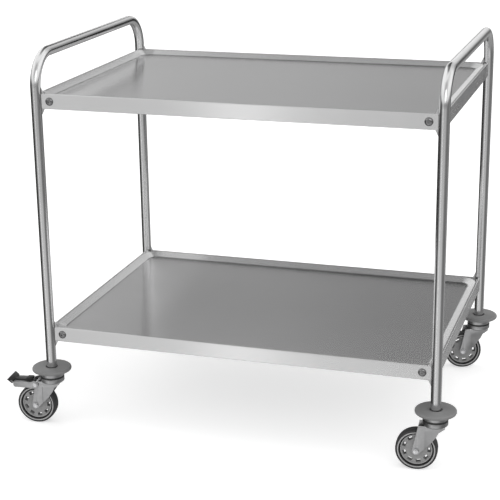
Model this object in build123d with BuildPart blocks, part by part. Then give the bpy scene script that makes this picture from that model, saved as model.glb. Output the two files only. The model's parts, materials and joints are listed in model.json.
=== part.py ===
from build123d import *
import os
from math import atan2, cos, radians, sin, tan

# Hoops: one bent tube at each end, its two legs and the push handle in one piece
tube_d = 25.0
tube_wall = 1.5
hoop_spacing = 975.0
leg_spacing = 665.0
overall_height = 950.0
hoop_bend = 78.0

# Trays: one pressed sheet each
tray_sheet = 1.2
tray_bend = 2.5
upper_rim_z = 848.0
lower_rim_z = 258.0
apron_height = 37.0
hem_width = 12.0
rim_width = 6.0
slope_width = 20.0
dish_depth = 11.0
dish_corner = 45.0
floor_corner = 25.0
apron_gap = 1.0
apron_corner = 4.0
notch_gap = 9.5

# Lugs: plates welded to the hoop legs behind the tray aprons
lug_sheet = 3.0
lug_reach = 50.0
lug_root_height = 62.0
lug_taper = 8.5
lug_clearance = 0.5
lug_corner = 5.0

# Shelf screws and nuts
screw_d = 8.0
screw_from_leg = 34.0
screw_hole_gap = 0.25
collar_d = 20.0
collar_thick = 1.6
button_d = 15.5
button_height = 4.4
socket_flats = 5.0
socket_depth = 2.5
nut_flats = 13.0
nut_height = 6.5
screw_tail = 3.0

# Stiffeners: hat channels under the trays
channel_spacing = 330.0
channel_width = 40.0
channel_depth = 16.0
channel_flange = 10.0
channel_sheet = 1.2
channel_tab = 12.0

# Bumper discs and the castor mounting in the tube ends
buffer_d = 98.0
buffer_thick = 9.0
buffer_web = 4.0
buffer_edge = 3.6
buffer_recess_d = 31.0
stem_d = 10.0
stem_gap = 0.1
stem_flats = 16.0
stem_head = 6.4
stem_rise = 34.0
stem_lead = 1.2
insert_height = 40.0
insert_lead = 1.5

# Castor swivel head
head_height = 28.0
cap_d = 59.0
cap_sheet = 2.5
cap_height = 14.0
cap_edge = 4.0
kingpin_wall = 2.0
kingpin_flare = 3.0
kingpin_flare_thick = 2.5
race_width = 9.0
ball_d = 6.0
ball_count = 10
ball_pitch_d = 38.0
ball_gap = 0.1
race_groove = 1.0
race_groove_width = 5.2
seal_width = 5.0
turning_gap = 0.3

# Castor fork: the front edge of a leg is given as distance from the swivel and drop below the crown
trail = 42.0
crown_clearance = 12.5
fork_sheet = 2.5
fork_inside = 35.0
fork_bend = 5.0
bowl_d = 60.0
bowl_height = 9.5
bowl_edge = 3.0
leg_end_r = 9.0
leg_rear_x = -38.0
crown_rear_x = -25.0
leg_front_drops = [(-8.5, 44.0), (4.0, 27.0), (10.0, 15.0), (24.0, 4.0)]
leg_fold_x = -22.0
leg_fold_depth = 1.5
leg_fold_drop = 13.0

# Wheel and axle
wheel_d = 100.0
tyre_width = 28.0
tyre_thick = 5.0
tyre_shoulder = 3.0
rim_ring = 3.0
rim_ring_width = 26.0
rim_web = 6.0
rib_inset = 7.5
rib_thick = 1.5
rib_width = 18.0
disc_width = 14.0
hub_d = 22.0
hub_gap = 0.5
window_count = 9
window_inset = 6.0
window_radial = 8.0
window_across = 11.0
axle_d = 8.0
sleeve_d = 12.0
sleeve_gap = 0.05
axle_flats = 13.0
axle_head = 3.6
axle_nut_height = 6.5
axle_tail = 1.5

# Brake pedal
pedal_reach = 114.0
pedal_travel_deg = 10.0
pivot_x = -40.0
pivot_drop = 8.0
pivot_d = 8.0
pivot_head_d = 12.0
pivot_head = 1.5
pivot_gap = 0.05
ear_r = 8.0
lever_sheet = 2.0
lever_gap = 0.5
lever_ring_r = 9.0
lever_flange_drop = 18.0
lever_flange_corner = 6.0
lever_toe = 12.0
lever_end_length = 16.0
lever_top_drop = 3.0
lever_drop = 1.5
lever_end_rise = 8.0
shoe_toe = 10.0
shoe_length = 14.0
shoe_width = 24.0
shoe_gap = 0.4
pad_strip_width = 18.0
pad_thick = 3.0
pad_block_height = 7.0
pad_block_length = 14.0

# Castors: which way each one trails in the rest pose, in degrees, and which have brakes
rest_angle_deg = {"left_front": 5, "right_front": 5, "left_rear": 10, "right_rear": 18}
braked = ("left_front", "left_rear")

# Places worked out from the sizes above
middle_x = (pedal_reach - buffer_d / 2) / 2
left_x = middle_x - hoop_spacing / 2
right_x = middle_x + hoop_spacing / 2
front_y = -leg_spacing / 2
rear_y = leg_spacing / 2
leg_places = [(left_x, front_y), (right_x, front_y), (left_x, rear_y), (right_x, rear_y)]
castor_place = dict(zip(("left_front", "right_front", "left_rear", "right_rear"), leg_places))
axle_z = wheel_d / 2
fork_top_z = wheel_d + crown_clearance + fork_sheet
castor_height = fork_top_z + head_height
tube_end_z = castor_height + buffer_web
tube_bore = tube_d - 2 * tube_wall
screw_x = (left_x + screw_from_leg, right_x - screw_from_leg)
apron_middle = apron_height / 2
fork_outside = fork_inside + 2 * fork_sheet
leg_front = [(x, fork_top_z - drop) for x, drop in leg_front_drops]
crown_underside = fork_top_z - fork_sheet
flare_top_z = crown_underside - turning_gap
stem_head_top_z = flare_top_z - kingpin_flare_thick
ball_z = fork_top_z - race_groove + ball_d / 2
race_z = ball_z + ball_d / 2 - race_groove
bowl_top_z = fork_top_z + bowl_height
seal_height = castor_height - cap_height - turning_gap - bowl_top_z
kingpin_d = stem_d + 2 * (stem_gap + kingpin_wall)
rim_d = wheel_d - 2 * tyre_thick
rib_d = rim_d - 2 * rib_inset
window_pitch_d = rib_d - 2 * (rib_thick + window_inset)
pivot_z = fork_top_z - pivot_drop
lever_top_z = fork_top_z - lever_top_drop
lever_flange_z = fork_top_z - lever_flange_drop
lever_front_x = pivot_x - lever_toe
lever_heel_x = lever_end_length - pedal_reach
shoe_front_x = pivot_x - shoe_toe
shoe_rear_x = shoe_front_x - shoe_length
lever_inside = fork_outside + 2 * lever_gap
lever_outside = lever_inside + 2 * lever_sheet


def keep(part, name):
    part.label = name
    export_step(part, f"parts/{name}.step")


# Hoops
def hoop_run(hoop_x):
    high = overall_height - tube_d / 2
    with BuildLine() as run:
        FilletPolyline(
            (hoop_x, front_y, tube_end_z),
            (hoop_x, front_y, high),
            (hoop_x, rear_y, high),
            (hoop_x, rear_y, tube_end_z),
            radius=hoop_bend,
        )
    return run.line


def make_hoop(hoop_x):
    run = hoop_run(hoop_x)
    with BuildPart() as hoop:
        with BuildSketch(Plane(origin=run @ 0, z_dir=run % 0)):
            Circle(tube_d / 2)
            Circle(tube_bore / 2, mode=Mode.SUBTRACT)
        sweep(path=run)
    return hoop.part


# Lugs: tall where they meet the tube, low enough further in to fit behind the apron
def make_lugs(hoop_x, inward):
    run = hoop_run(hoop_x)
    notch_end = tube_d / 2 + lug_taper
    low_half = apron_height / 2 - tray_bend - lug_clearance
    tall_half = lug_root_height / 2
    tips = -1 if inward > 0 else 0
    profile = [(0, tall_half), (tube_d / 2 + apron_gap, tall_half), (notch_end, low_half)]
    profile += [(lug_reach, low_half), (lug_reach, -low_half), (notch_end, -low_half)]
    profile += [(tube_d / 2 + apron_gap, -tall_half), (0, -tall_half)]
    with BuildPart() as lugs:
        for rim_z in (upper_rim_z, lower_rim_z):
            middle_z = rim_z - apron_middle
            for face_y in (front_y + tray_sheet + lug_sheet, rear_y - tray_sheet):
                with BuildSketch(Plane.XZ.offset(-face_y)) as plate:
                    with BuildLine():
                        Polyline([(hoop_x + inward * x, middle_z + z) for x, z in profile], close=True)
                    make_face()
                    fillet(plate.vertices().group_by(Axis.X)[tips], radius=lug_corner)
                    with Locations((hoop_x + inward * screw_from_leg, middle_z)):
                        Circle(screw_d / 2 + screw_hole_gap, mode=Mode.SUBTRACT)
                extrude(amount=lug_sheet)
        with BuildSketch(Plane(origin=run @ 0, z_dir=run % 0)):
            Circle(tube_d / 2)
        sweep(path=run, mode=Mode.SUBTRACT)
    return lugs.part


# Trays: rim, dished top, four aprons with a hem, and corners notched round the legs
def make_tray(rim_z):
    bottom_z = rim_z - apron_height
    inner_length = hoop_spacing - 2 * tray_sheet
    inner_width = leg_spacing - 2 * tray_sheet
    slope_angle = atan2(dish_depth, slope_width)
    grow = tray_sheet * tan(slope_angle / 2)
    floor_inset = rim_width + slope_width
    with BuildPart() as tray:
        with BuildSketch(Plane.XY.offset(bottom_z)):
            with Locations((middle_x, 0)):
                Rectangle(hoop_spacing, leg_spacing)
        extrude(amount=apron_height)
        fillet(tray.edges().group_by(Axis.Z)[-1], radius=tray_bend)
        with BuildSketch(Plane.XY.offset(bottom_z)):
            with Locations((middle_x, 0)):
                Rectangle(inner_length, inner_width)
        extrude(amount=apron_height - tray_sheet, mode=Mode.SUBTRACT)
        under_rim = rim_z - tray_sheet
        inner_bend = tray.edges().filter_by_position(Axis.Z, under_rim - 0.01, under_rim + 0.01)
        fillet(inner_bend, radius=tray_bend - tray_sheet)
        # Hem folded inwards along the foot of the aprons
        with BuildSketch(Plane.XY.offset(bottom_z)):
            with Locations((middle_x, 0)):
                Rectangle(inner_length, inner_width)
                Rectangle(
                    hoop_spacing - 2 * hem_width, leg_spacing - 2 * hem_width, mode=Mode.SUBTRACT
                )
        extrude(amount=tray_sheet)
        # Dished top: the underside is added first, then the well is pressed out of it
        with BuildSketch(Plane.XY.offset(rim_z - tray_sheet)):
            with Locations((middle_x, 0)):
                RectangleRounded(
                    hoop_spacing - 2 * (rim_width - grow),
                    leg_spacing - 2 * (rim_width - grow),
                    dish_corner + grow,
                )
        with BuildSketch(Plane.XY.offset(rim_z - dish_depth - tray_sheet)):
            with Locations((middle_x, 0)):
                RectangleRounded(
                    hoop_spacing - 2 * (floor_inset - grow),
                    leg_spacing - 2 * (floor_inset - grow),
                    floor_corner + grow,
                )
        loft()
        with BuildSketch(Plane.XY.offset(rim_z)):
            with Locations((middle_x, 0)):
                RectangleRounded(
                    hoop_spacing - 2 * rim_width, leg_spacing - 2 * rim_width, dish_corner
                )
        with BuildSketch(Plane.XY.offset(rim_z - dish_depth)):
            with Locations((middle_x, 0)):
                RectangleRounded(
                    hoop_spacing - 2 * floor_inset, leg_spacing - 2 * floor_inset, floor_corner
                )
        loft(mode=Mode.SUBTRACT)
        # Corners: the aprons stop short of the legs, the rim and hem stand further back
        with BuildSketch(Plane.XY.offset(bottom_z)):
            with Locations(*leg_places):
                Circle(tube_d / 2 + apron_gap)
        extrude(amount=apron_height, mode=Mode.SUBTRACT)
        with BuildSketch(Plane.XY.offset(bottom_z)):
            with Locations(*leg_places):
                Circle(tube_d / 2 + notch_gap)
            with Locations((middle_x, 0)):
                Rectangle(inner_length, inner_width, mode=Mode.INTERSECT)
        extrude(amount=apron_height, mode=Mode.SUBTRACT)
        # Rounded ends on the front and rear aprons, then on the left and right ones
        apron_ends = (
            (Plane.XZ.offset(-front_y), middle_x, hoop_spacing, -tray_sheet),
            (Plane.XZ.offset(-rear_y), middle_x, hoop_spacing, tray_sheet),
            (Plane.YZ.offset(left_x), 0, leg_spacing, tray_sheet),
            (Plane.YZ.offset(right_x), 0, leg_spacing, -tray_sheet),
        )
        for face, centre, length, depth in apron_ends:
            with BuildSketch(face):
                for end in (-1, 1):
                    tip = centre + end * (length / 2 - tube_d / 2 - apron_gap)
                    inset = tip - end * apron_corner
                    for edge_z, turn in ((rim_z, -1), (bottom_z, 1)):
                        inset_z = edge_z + turn * apron_corner
                        with Locations(((tip + inset) / 2, (edge_z + inset_z) / 2)):
                            Rectangle(apron_corner, apron_corner)
                        with Locations((inset, inset_z)):
                            Circle(apron_corner, mode=Mode.SUBTRACT)
            extrude(amount=depth, mode=Mode.SUBTRACT)
        with BuildSketch(Plane.XZ):
            with Locations(*[(x, rim_z - apron_middle) for x in screw_x]):
                Circle(screw_d / 2 + screw_hole_gap)
        extrude(amount=leg_spacing, both=True, mode=Mode.SUBTRACT)
    return tray.part


# Stiffeners: open channels under the tray floor, with tabs spot-welded to the end aprons
def make_stiffeners(rim_z):
    top_z = rim_z - dish_depth - tray_sheet
    start_x = left_x + tray_sheet
    length = hoop_spacing - 2 * tray_sheet
    wide = channel_width + 2 * channel_flange
    with BuildPart() as channels:
        with BuildSketch(Plane.YZ.offset(start_x)):
            for y in (-channel_spacing / 2, channel_spacing / 2):
                with Locations((y, top_z - channel_sheet / 2)):
                    Rectangle(wide, channel_sheet)
                with Locations((y, top_z - channel_depth / 2)):
                    Rectangle(channel_width, channel_depth)
                inside = channel_width - 2 * channel_sheet
                with Locations((y, top_z - (channel_depth - channel_sheet) / 2)):
                    Rectangle(inside, channel_depth - channel_sheet, mode=Mode.SUBTRACT)
        extrude(amount=length)
        for plane_x in (start_x, start_x + length - channel_sheet):
            with BuildSketch(Plane.YZ.offset(plane_x)):
                for y in (-channel_spacing / 2, channel_spacing / 2):
                    for side in (-1, 1):
                        tab_y = y + side * (channel_width + channel_tab) / 2
                        with Locations((tab_y, top_z - channel_depth / 2)):
                            Rectangle(channel_tab, channel_depth)
            extrude(amount=channel_sheet)
    return channels.part


# Shelf screws: flanged button heads with a hexagon socket, and their nuts
def screw_places():
    places = []
    for rim_z in (upper_rim_z, lower_rim_z):
        for x in screw_x:
            places.append(Location((x, front_y, rim_z - apron_middle), (90, 0, 0)))
            places.append(Location((x, rear_y, rim_z - apron_middle), (-90, 0, 0)))
    return places


def make_screw():
    grip = tray_sheet + lug_sheet
    with BuildPart() as screw:
        with BuildSketch():
            Circle(collar_d / 2)
        extrude(amount=collar_thick)
        chamfer(screw.edges().group_by(Axis.Z)[-1], length=collar_thick / 2)
        with BuildSketch(Plane.XY.offset(collar_thick)):
            Circle(button_d / 2)
        extrude(amount=button_height - collar_thick)
        fillet(screw.edges().group_by(Axis.Z)[-1], radius=button_height - collar_thick - 0.4)
        with BuildSketch(Plane.XY.offset(button_height)):
            RegularPolygon(socket_flats / 2, 6, major_radius=False)
        extrude(amount=-socket_depth, mode=Mode.SUBTRACT)
        with BuildSketch():
            Circle(screw_d / 2)
        extrude(amount=-(grip + nut_height + screw_tail))
        chamfer(screw.edges().group_by(Axis.Z)[0], length=1.0)
    return screw.part


def make_nut():
    with BuildPart() as nut:
        with BuildSketch(Plane.XY.offset(-(tray_sheet + lug_sheet))):
            RegularPolygon(nut_flats / 2, 6, major_radius=False)
            Circle(screw_d / 2, mode=Mode.SUBTRACT)
        extrude(amount=-nut_height)
    return nut.part


# Castor mounting: threaded plugs in the tube ends, and the bolts that screw up into them
def make_insert():
    with BuildPart() as insert:
        with BuildSketch(Plane.XY.offset(tube_end_z)):
            Circle(tube_bore / 2)
        extrude(amount=insert_height)
        chamfer(insert.edges().group_by(Axis.Z)[-1], length=insert_lead)
        with BuildSketch(Plane.XY.offset(tube_end_z)):
            Circle(stem_d / 2)
        extrude(amount=insert_height, mode=Mode.SUBTRACT)
    return insert.part


def make_stem_bolt():
    with BuildPart() as bolt:
        with BuildSketch(Plane.XY.offset(stem_head_top_z)):
            RegularPolygon(stem_flats / 2, 6, major_radius=False)
        extrude(amount=-stem_head)
        with BuildSketch(Plane.XY.offset(stem_head_top_z)):
            Circle(stem_d / 2)
        extrude(amount=tube_end_z + stem_rise - stem_head_top_z)
        chamfer(bolt.edges().group_by(Axis.Z)[-1], length=stem_lead)
    return bolt.part


def make_buffer():
    with BuildPart() as disc:
        with BuildSketch(Plane.XY.offset(castor_height)):
            Circle(buffer_d / 2)
        extrude(amount=buffer_thick)
        chamfer(disc.edges(), length=buffer_edge)
        with Locations((0, 0, castor_height + buffer_thick)):
            CounterBoreHole(
                radius=stem_d / 2 + stem_gap,
                counter_bore_radius=buffer_recess_d / 2,
                counter_bore_depth=buffer_thick - buffer_web,
            )
    return disc.part


# Castor cap: pressed housing, upper ball race and hollow kingpin, turned as one
def make_cap():
    bore_r = stem_d / 2 + stem_gap
    race_inner_r = (ball_pitch_d - race_width) / 2
    with BuildPart() as cap:
        with BuildSketch(Plane.XZ) as section:
            with BuildLine():
                Polyline(
                    (bore_r, castor_height),
                    (cap_d / 2, castor_height),
                    (cap_d / 2, castor_height - cap_height),
                    (cap_d / 2 - cap_sheet, castor_height - cap_height),
                    (cap_d / 2 - cap_sheet, castor_height - cap_sheet),
                    (race_inner_r + cap_sheet, castor_height - cap_sheet),
                    (race_inner_r + cap_sheet, race_z + cap_sheet),
                    (race_inner_r + race_width, race_z + cap_sheet),
                    (race_inner_r + race_width, race_z),
                    (race_inner_r, race_z),
                    (race_inner_r, castor_height - cap_sheet),
                    (kingpin_d / 2, castor_height - cap_sheet),
                    (kingpin_d / 2, flare_top_z),
                    (kingpin_d / 2 + kingpin_flare, flare_top_z),
                    (kingpin_d / 2 + kingpin_flare, stem_head_top_z),
                    (bore_r, stem_head_top_z),
                    close=True,
                )
            make_face()
            outer_top = section.vertices().group_by(Axis.Y)[-1].sort_by(Axis.X)[-1]
            chamfer(outer_top, length=cap_edge)
            with Locations((ball_pitch_d / 2, ball_z + ball_d / 4 + ball_gap / 2)):
                Rectangle(race_groove_width, ball_d / 2 + ball_gap, mode=Mode.SUBTRACT)
        revolve(axis=Axis.Z)
    return cap.part


def make_balls():
    with BuildPart() as ball:
        with BuildSketch(Plane.XZ):
            RegularPolygon(ball_d / 2, 10, rotation=18)
            with Locations((-ball_d / 2, 0)):
                Rectangle(ball_d, 2 * ball_d, mode=Mode.SUBTRACT)
        revolve(axis=Axis.Z)
    with BuildPart() as balls:
        with Locations(*[(x, y, ball_z) for x, y in leg_places]):
            with PolarLocations(ball_pitch_d / 2, ball_count):
                add(ball.part)
    return balls.part


def make_seal():
    with BuildPart() as seal:
        with BuildSketch(Plane.XY.offset(bowl_top_z)):
            Circle(bowl_d / 2)
            Circle(bowl_d / 2 - seal_width, mode=Mode.SUBTRACT)
        extrude(amount=seal_height)
    return seal.part


# Fork: bent channel cut to its side outline, with the ball bowl drawn out of its crown
def make_fork(has_brake):
    rear_top = (leg_rear_x, fork_top_z)
    with BuildPart() as fork:
        with BuildSketch(Plane.YZ) as section:
            with Locations((0, fork_top_z / 2)):
                Rectangle(fork_outside, fork_top_z)
            fillet(section.vertices().group_by(Axis.Y)[-1], radius=fork_bend)
        extrude(amount=bowl_d, both=True)
        with BuildSketch(Plane.YZ) as hollow:
            with Locations((0, crown_underside / 2)):
                Rectangle(fork_inside, crown_underside)
            fillet(hollow.vertices().group_by(Axis.Y)[-1], radius=fork_bend - fork_sheet)
        extrude(amount=bowl_d, both=True, mode=Mode.SUBTRACT)
        # The front of each leg is pressed inwards, which leaves a fold down the leg
        fold_z = fork_top_z - leg_fold_drop
        for side in (-1, 1):
            with Locations((leg_fold_x + bowl_d / 2, side * fork_outside / 2, fold_z / 2)):
                Box(bowl_d, 2 * leg_fold_depth, fold_z, mode=Mode.SUBTRACT)
            fold_y = side * (fork_inside - leg_fold_depth) / 2
            with Locations((leg_fold_x + bowl_d / 2, fold_y, fold_z / 2)):
                Box(bowl_d, leg_fold_depth, fold_z)
        with BuildSketch(Plane.XZ):
            with BuildLine():
                CenterArc((-trail, axle_z), leg_end_r, 0, 360)
                Line(rear_top, leg_front[0])
            make_hull()
            with BuildLine():
                Polyline([rear_top, *leg_front, (leg_front[-1][0], fork_top_z)], close=True)
            make_face()
            if has_brake:
                with Locations((pivot_x, pivot_z)):
                    Circle(ear_r)
        extrude(amount=fork_outside, both=True, mode=Mode.INTERSECT)
        # The channel is open behind the crown
        with BuildSketch(Plane.XY.offset(crown_underside - fork_bend)):
            with Locations((crown_rear_x - bowl_d / 2, 0)):
                Rectangle(bowl_d, fork_inside)
        extrude(amount=2 * fork_bend + fork_sheet, mode=Mode.SUBTRACT)
        with BuildSketch(Plane.XZ) as bowl:
            with BuildLine():
                Polyline(
                    (0, crown_underside),
                    (bowl_d / 2, crown_underside),
                    (bowl_d / 2, bowl_top_z),
                    (bowl_d / 2 - fork_sheet, bowl_top_z),
                    (bowl_d / 2 - fork_sheet, fork_top_z),
                    (0, fork_top_z),
                    close=True,
                )
            make_face()
            low_rim = bowl.vertices().group_by(Axis.Y)[0].sort_by(Axis.X)[-1]
            chamfer(low_rim, length=bowl_edge)
        revolve(axis=Axis.Z)
        with BuildSketch(Plane.XY.offset(fork_top_z - race_groove)):
            Circle((ball_pitch_d + race_groove_width) / 2)
            Circle((ball_pitch_d - race_groove_width) / 2, mode=Mode.SUBTRACT)
        extrude(amount=ball_d / 2, mode=Mode.SUBTRACT)
        with BuildSketch(Plane.XY.offset(crown_underside)):
            Circle(kingpin_d / 2 + sleeve_gap)
        extrude(amount=fork_sheet, mode=Mode.SUBTRACT)
        with BuildSketch(Plane.XZ):
            with Locations((-trail, axle_z)):
                Circle(axle_d / 2)
            if has_brake:
                with Locations((pivot_x, pivot_z)):
                    Circle(pivot_d / 2)
        extrude(amount=fork_outside, both=True, mode=Mode.SUBTRACT)
    return fork.part


# Axle bolt with its head on the near side, its nut, and the sleeve clamped between the legs
def make_axle_bolt():
    half = fork_outside / 2
    with BuildPart() as bolt:
        with BuildSketch(Plane.XY.offset(half)):
            RegularPolygon(axle_flats / 2, 6, major_radius=False)
        extrude(amount=axle_head)
        with BuildSketch(Plane.XY.offset(half)):
            Circle(axle_d / 2)
        extrude(amount=-(fork_outside + axle_nut_height + axle_tail))
    return bolt.part


def make_axle_nut():
    with BuildPart() as nut:
        with BuildSketch(Plane.XY.offset(-fork_outside / 2)):
            RegularPolygon(axle_flats / 2, 6, major_radius=False)
            Circle(axle_d / 2, mode=Mode.SUBTRACT)
        extrude(amount=-axle_nut_height)
    return nut.part


def make_sleeve():
    with BuildPart() as sleeve:
        with BuildSketch():
            Circle(sleeve_d / 2)
            Circle(axle_d / 2, mode=Mode.SUBTRACT)
        extrude(amount=fork_inside / 2, both=True)
    return sleeve.part


# Wheel centre: hub, web with windows, an inner rib and the rim ring under the tyre
def make_wheel_centre():
    rings = [
        (sleeve_d / 2 + sleeve_gap, hub_d / 2, fork_inside - 2 * hub_gap),
        (hub_d / 2, rib_d / 2 - rib_thick, disc_width),
        (rib_d / 2 - rib_thick, rib_d / 2, rib_width),
        (rib_d / 2, rim_d / 2 - rim_ring, rim_web),
        (rim_d / 2 - rim_ring, rim_d / 2, rim_ring_width),
    ]
    with BuildPart() as centre:
        with BuildSketch(Plane.XZ):
            for inner_r, outer_r, width in rings:
                with Locations(((inner_r + outer_r) / 2, 0)):
                    Rectangle(outer_r - inner_r, width)
        revolve(axis=Axis.Z)
        with BuildSketch():
            with PolarLocations(window_pitch_d / 2, window_count):
                Rectangle(window_radial, window_across)
        extrude(amount=disc_width, both=True, mode=Mode.SUBTRACT)
    return centre.part


def make_tyre():
    with BuildPart() as tyre:
        with BuildSketch(Plane.XZ) as section:
            with Locations(((rim_d + wheel_d) / 4, 0)):
                Rectangle(tyre_thick, tyre_width)
            chamfer(section.vertices().group_by(Axis.X)[-1], length=tyre_shoulder)
        revolve(axis=Axis.Z)
    return tyre.part


# Brake pedal: pressed lever outside the fork legs, its shoe over the tyre, and a moulded pad
def lever_plate(top):
    heel_z = lever_top_z - lever_drop
    end_x = lever_heel_x - (pedal_reach + lever_heel_x) * 0.75
    return [
        (lever_front_x, lever_top_z + top),
        (lever_heel_x, heel_z + top),
        (end_x, heel_z + lever_end_rise + top),
    ]


def make_lever():
    upper = lever_plate(0)
    lower = lever_plate(-lever_sheet)
    heel_x, heel_z = upper[1]
    toe_x, toe_z = upper[0]
    shoe_centre = turned_about_pivot((-trail, axle_z), pedal_travel_deg)
    with BuildPart() as lever:
        with BuildSketch(Plane.XZ):
            with BuildLine():
                Polyline([*upper, *reversed(lower)], close=True)
            make_face()
        extrude(amount=lever_outside / 2, both=True)
        with BuildSketch(Plane.XZ) as flange:
            with BuildLine():
                CenterArc((pivot_x, pivot_z), lever_ring_r, 0, 360)
                Line((toe_x, toe_z), (toe_x, lever_flange_z))
            make_hull()
            with BuildLine():
                Polyline(
                    (toe_x, toe_z),
                    (heel_x, heel_z),
                    (heel_x, lever_flange_z),
                    (toe_x, lever_flange_z),
                    close=True,
                )
            make_face()
            low_heel = flange.vertices().group_by(Axis.Y)[0].sort_by(Axis.X)[0]
            fillet(low_heel, radius=lever_flange_corner)
        extrude(amount=lever_outside / 2, both=True)
        with BuildSketch(Plane.XZ):
            with BuildLine():
                Polyline(
                    (pivot_x + 2 * lever_ring_r, lever_flange_z - lever_ring_r),
                    (pivot_x + 2 * lever_ring_r, toe_z + lever_ring_r),
                    (toe_x, toe_z + lever_ring_r),
                    (toe_x, toe_z - lever_sheet),
                    (heel_x, heel_z - lever_sheet),
                    (heel_x, lever_flange_z - lever_ring_r),
                    close=True,
                )
            make_face()
        extrude(amount=lever_inside / 2, both=True, mode=Mode.SUBTRACT)
        with BuildSketch(Plane.XZ):
            with BuildLine():
                Polyline(
                    (shoe_front_x, toe_z - lever_sheet),
                    (shoe_rear_x, toe_z - lever_sheet),
                    (shoe_rear_x, lever_flange_z),
                    (shoe_front_x, lever_flange_z),
                    close=True,
                )
            make_face()
            with Locations(shoe_centre):
                Circle(wheel_d / 2 + shoe_gap, mode=Mode.SUBTRACT)
        extrude(amount=shoe_width / 2, both=True)
        with BuildSketch(Plane.XZ):
            with Locations((pivot_x, pivot_z)):
                Circle(pivot_d / 2 + pivot_gap)
        extrude(amount=lever_outside, both=True, mode=Mode.SUBTRACT)
    return lever.part


# A point of the wheel as the lifted lever sees it
def turned_about_pivot(point, angle):
    x = point[0] - pivot_x
    z = point[1] - pivot_z
    turn = radians(angle)
    return (pivot_x + x * cos(turn) + z * sin(turn), pivot_z - x * sin(turn) + z * cos(turn))


def make_pad(lever):
    upper = lever_plate(0)
    middle = lever_plate(-lever_sheet / 2)
    toe_x, toe_z = upper[0]
    heel_x, heel_z = upper[1]
    end_x, end_z = upper[2]
    block_x = toe_x - pad_block_length
    with BuildPart() as pad:
        with BuildSketch(Plane.XZ):
            with BuildLine():
                Polyline(
                    middle[0],
                    (toe_x, toe_z + pad_block_height),
                    (block_x, toe_z + pad_block_height),
                    (block_x - pad_thick, toe_z + pad_thick),
                    (heel_x, heel_z + pad_thick),
                    middle[1],
                    close=True,
                )
            make_face()
        extrude(amount=pad_strip_width / 2, both=True)
        with BuildSketch(Plane.XZ) as cap:
            with BuildLine():
                Polyline(
                    (heel_x, heel_z + pad_thick),
                    (end_x + pad_thick, end_z + pad_thick),
                    (-pedal_reach, end_z - pad_thick),
                    (heel_x - pad_thick, heel_z - lever_sheet - pad_thick),
                    (heel_x, heel_z - lever_sheet),
                    close=True,
                )
            make_face()
        extrude(amount=lever_outside / 2, both=True)
        add(lever, mode=Mode.SUBTRACT)
    return pad.part


def make_pivot_pin():
    reach = lever_outside / 2 + turning_gap
    with BuildPart() as pin:
        with BuildSketch():
            Circle(pivot_d / 2)
        extrude(amount=reach, both=True)
        with BuildSketch(Plane.XY.offset(reach)):
            Circle(pivot_head_d / 2)
        extrude(amount=pivot_head)
        with BuildSketch(Plane.XY.offset(-reach)):
            Circle(pivot_head_d / 2)
        extrude(amount=-pivot_head)
    return pin.part


os.makedirs("parts", exist_ok=True)

# Frame
keep(make_hoop(left_x), "left_hoop")
keep(make_hoop(right_x), "right_hoop")
keep(make_lugs(left_x, 1), "left_hoop_lugs")
keep(make_lugs(right_x, -1), "right_hoop_lugs")
for shelf, rim_z in (("upper", upper_rim_z), ("lower", lower_rim_z)):
    keep(make_tray(rim_z), f"{shelf}_tray")
    keep(make_stiffeners(rim_z), f"{shelf}_tray_stiffeners")

screw = make_screw()
with BuildPart() as shelf_screws:
    with Locations(*screw_places()):
        add(screw)
keep(shelf_screws.part, "shelf_screws")

nut = make_nut()
with BuildPart() as shelf_nuts:
    with Locations(*screw_places()):
        add(nut)
keep(shelf_nuts.part, "shelf_nuts")

insert = make_insert()
with BuildPart() as tube_inserts:
    with Locations(*leg_places):
        add(insert)
keep(tube_inserts.part, "tube_inserts")

stem_bolt = make_stem_bolt()
with BuildPart() as stem_bolts:
    with Locations(*leg_places):
        add(stem_bolt)
keep(stem_bolts.part, "stem_bolts")
keep(make_balls(), "swivel_balls")

# Castors: every piece is made once about its own swivel axis, then placed at each leg
axle_place = Location((-trail, 0, axle_z), (90, 0, 0))
pivot_place = Location((pivot_x, 0, pivot_z), (90, 0, 0))
castor_pieces = {
    "buffer": make_buffer(),
    "castor_cap": make_cap(),
    "dust_seal": make_seal(),
    "axle_bolt": make_axle_bolt().moved(axle_place),
    "axle_nut": make_axle_nut().moved(axle_place),
    "axle_sleeve": make_sleeve().moved(axle_place),
    "wheel_centre": make_wheel_centre().moved(axle_place),
    "tyre": make_tyre().moved(axle_place),
}
lever = make_lever()
brake_pieces = {
    "fork": make_fork(True),
    "pedal_lever": lever,
    "pedal_pad": make_pad(lever),
    "pedal_pin": make_pivot_pin().moved(pivot_place),
}
plain_fork = {"fork": make_fork(False)}

for corner, (x, y) in castor_place.items():
    place = Location((x, y, 0), (0, 0, rest_angle_deg[corner]))
    extra = brake_pieces if corner in braked else plain_fork
    for piece, shape in {**castor_pieces, **extra}.items():
        keep(shape.moved(place), f"{corner}_{piece}")
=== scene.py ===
# Serving trolley: two pressed steel trays between two bent tube hoops, on four castors
import json
import math
import bmesh
import bpy
from mathutils import Matrix, Vector

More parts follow.
